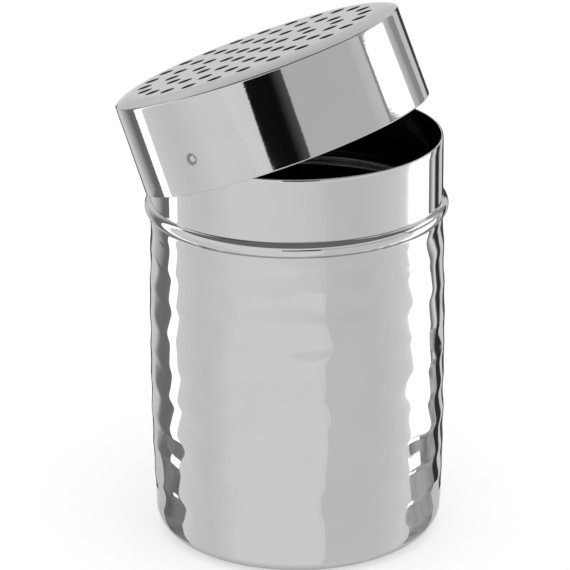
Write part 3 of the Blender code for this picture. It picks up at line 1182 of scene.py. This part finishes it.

# %% [markdown]
# ## All the cards
#
# Strips give the white bands, flags the dark ones, and outlines the thin dark edges.
# Dark, blotchy sheets lie on the table near the shaker and darken the foot of the wall
# in the steel; they are painted shade. A few light spots lie on them. Each entry holds a
# card's first and last azimuth, in degrees from the camera's side to the right, the
# distances and the levels of its near and its far edge, and its brightness: one number,
# "round" with azimuths and tones, "up" from one tone to another, or "blotches" between two.

# %% Standing and lying cards
CRISP_STRIP = ("round", (92, 1.0), (97.2, 1.15), (97.8, 2.0), (126, 2.0))
SOFT_STRIP = ("round", (92, 1.05), (96, 1.35), (98.5, 2.0), (126, 2.0))
LOW_FLAG = ("round", (-148, 1.0), (-144, 0.6), (-139, 0.29), (-127, 0.24), (-118, 0.28))
HIGH_FLAG = (
    "round", (-147, 0.93), (-141, 0.76), (-136, 0.58), (-131, 0.33), (-127, 0.23),
    (-118, 0.25),
)
NESTED_EDGES = (
    "round", (126, 0.28), (129, 0.32), (130.5, 0.6), (134, 1.1), (136.5, 1.25), (138, 0.45),
    (139.5, 0.06), (146, 0.04), (148, 0.3), (150, 0.9),
)
FRONT_FLAG = (
    "round", (-11, 0.05), (-10, 0.008), (8, 0.006), (11, 0.04), (14, 0.08), (17.5, 0.11),
)
SIDE_HIGH = ("round", (126, 0.9), (136, 0.6))
PALE_CARD = ("round", (77, 0.74), (86, 0.83), (91.5, 0.80))
ON_TABLE = (0.0005, 0.001)
LIGHT_SPOT = (0.0015, 0.0018, 2.0)
UPPER = (0.085, 0.175)
# The dark, blotchy sheets that lie on the table near the shaker are painted shade.
CARDS = {
    "right_spot_high": (97, 112, 0.0540, 0.0640, *LIGHT_SPOT),
    "right_spot_middle": (97, 107, 0.0400, 0.0470, *LIGHT_SPOT),
    "right_spot_low": (96, 104, 0.0230, 0.0290, *LIGHT_SPOT),
    "left_spot": (-118, -110, 0.0250, 0.0310, *LIGHT_SPOT),
    "right_strip_foot": (92, 126, 0.070, 0.1045, 0.0, 0.048, CRISP_STRIP),
    "right_strip_low": (92, 126, 0.1045, 0.131, 0.048, 0.085, SOFT_STRIP),
    "right_strip_high": (94, 126, 0.131, 0.131, (0.138, 0.112), (0.157, 0.170), 2.0),
    "right_strip_back": (91.5, 126, 0.134, 0.134, *UPPER, 0.55),
    "right_strip_side_high": (126, 136, 0.135, 0.135, *UPPER, SIDE_HIGH),
    "right_flag": (126, 150, 0.135, 0.135, 0.0, 0.085, NESTED_EDGES),
    "right_flag_foot": (139, 151, 0.03, 0.135, 0.0006, 0.0012, 0.05),
    "right_side_paper": (126, 139, 0.070, 0.135, *ON_TABLE, ("blotches", 0.30, 0.80)),
    "right_flag_top": (136, 147, 0.135, 0.135, *UPPER, 0.45),
    "right_outline": (160, 180, 0.02, 0.40, *ON_TABLE, 0.10),
    "right_outline_top": (158, 172, 0.20, 0.20, 0.05, 0.16, 0.08),
    "right_dark_paper": (100, 139, 0.0, 0.070, *ON_TABLE, ("blotches", 0.30, 0.80)),
    "left_strip": (-118.5, -107, 0.056, 0.102, 0.0, 0.160, 2.0),
    "left_flag_low": (-148, -118.5, 0.056, 0.085, 0.0, 0.045, LOW_FLAG),
    "left_flag_high": (-147, -118, 0.085, 0.085, 0.045, 0.160, HIGH_FLAG),
    "left_outline": (-180, -163, 0.02, 0.40, *ON_TABLE, 0.10),
    "left_outline_far": (-167, -160, 0.40, 0.90, *ON_TABLE, 0.10),
    "left_dark_paper": (-140, -107, 0.0, 0.056, *ON_TABLE, ("blotches", 0.18, 0.42)),
    "front_flag": (-11, 17.5, 1.0, 1.0, 0.030, (0.22, 0.36), FRONT_FLAG),
    "right_grey_card": (17.5, 77, 1.0, 1.0, 0.030, 0.50, 0.70),
    "right_pale_card": (77, 91.5, 1.0, 1.0, 0.030, 0.50, PALE_CARD),
    "right_dark_gap": (91, 94, 0.1305, 0.1305, *UPPER, 0.42),
    "front_ceiling": (-115, 115, 0.40, -0.10, 0.34, 0.70, 0.20),
    "back_ceiling": (115, 245, 0.40, 0.40, 0.29, 0.75, ("up", 0.95, 0.60)),
}
for name, (*sizes, brightness) in CARDS.items():
    card = make_card(name, *sizes)
    card.data.materials.append(card_material(name, brightness))
print(len(CARDS), "cards")

# %% [markdown]
# ## The table's tones
#
# Most of the neck and the wall mirror the table in front, whose brightness changes
# slowly round the shaker. One lying sheet shows it as azimuths and tones, with one set
# close to the shaker and another farther out, which only the lid mirrors.

# %% The table's tones
NEAR_TONES = (
    (-107, 1.02), (-95, 0.92), (-78, 0.865), (-64, 0.91), (-52, 0.99), (14, 1.0),
    (17, 1.0), (21, 0.83), (30, 0.83), (62, 0.83), (78, 0.89), (88, 0.97), (92, 1.05),
)
FAR_TONES = (
    (-107, 1.02), (-95, 0.92), (-78, 0.865), (-64, 0.92), (-50, 0.985), (-28, 0.98),
    (-13, 0.96), (3, 0.935), (15, 0.90), (23, 0.83), (50, 0.80), (68, 0.86), (83, 0.95),
    (92, 1.10),
)
TABLE_REACH = 0.80
FAR_FROM = 0.20
FAR_BY = 0.24
SHEET_LEVEL = 0.0004


def make_table_tones():
    """One lying sheet whose brightness changes round the shaker and outwards."""
    ends = (NEAR_TONES[0][0], NEAR_TONES[-1][0], 0.0, TABLE_REACH)
    sheet = make_card("table_tones", *ends, SHEET_LEVEL, SHEET_LEVEL)
    material, tree, shader = glow("table_tones", 1.0)
    uv = place(tree, "ShaderNodeUVMap", uv_map="azimuth_and_reach").outputs[0]
    parts = place(tree, "ShaderNodeSeparateXYZ", uv)
    near = tone_ramp(tree, parts.outputs[0], NEAR_TONES)
    far = tone_ramp(tree, parts.outputs[0], FAR_TONES)
    ends = (FAR_FROM / TABLE_REACH, FAR_BY / TABLE_REACH, 0.0, 1.0)
    share = place(tree, "ShaderNodeMapRange", parts.outputs[1], *ends)
    share.interpolation_type = "SMOOTHSTEP"
    tone = place(tree, "ShaderNodeMix", share.outputs[0], near, far, data_type="RGBA")
    strength = calc(tree, "MULTIPLY", tone.outputs[2], BRIGHTEST)
    tree.links.new(strength, shader.inputs["Emission Strength"])
    sheet.data.materials.append(material)


make_table_tones()
print("table tones from", NEAR_TONES[0][0], "to", NEAR_TONES[-1][0], "degrees")

# %% [markdown]
# ## The view transform
#
# The picture uses the plain Standard transform.

# %% Set the view transform
bpy.context.scene.view_settings.view_transform = "Standard"
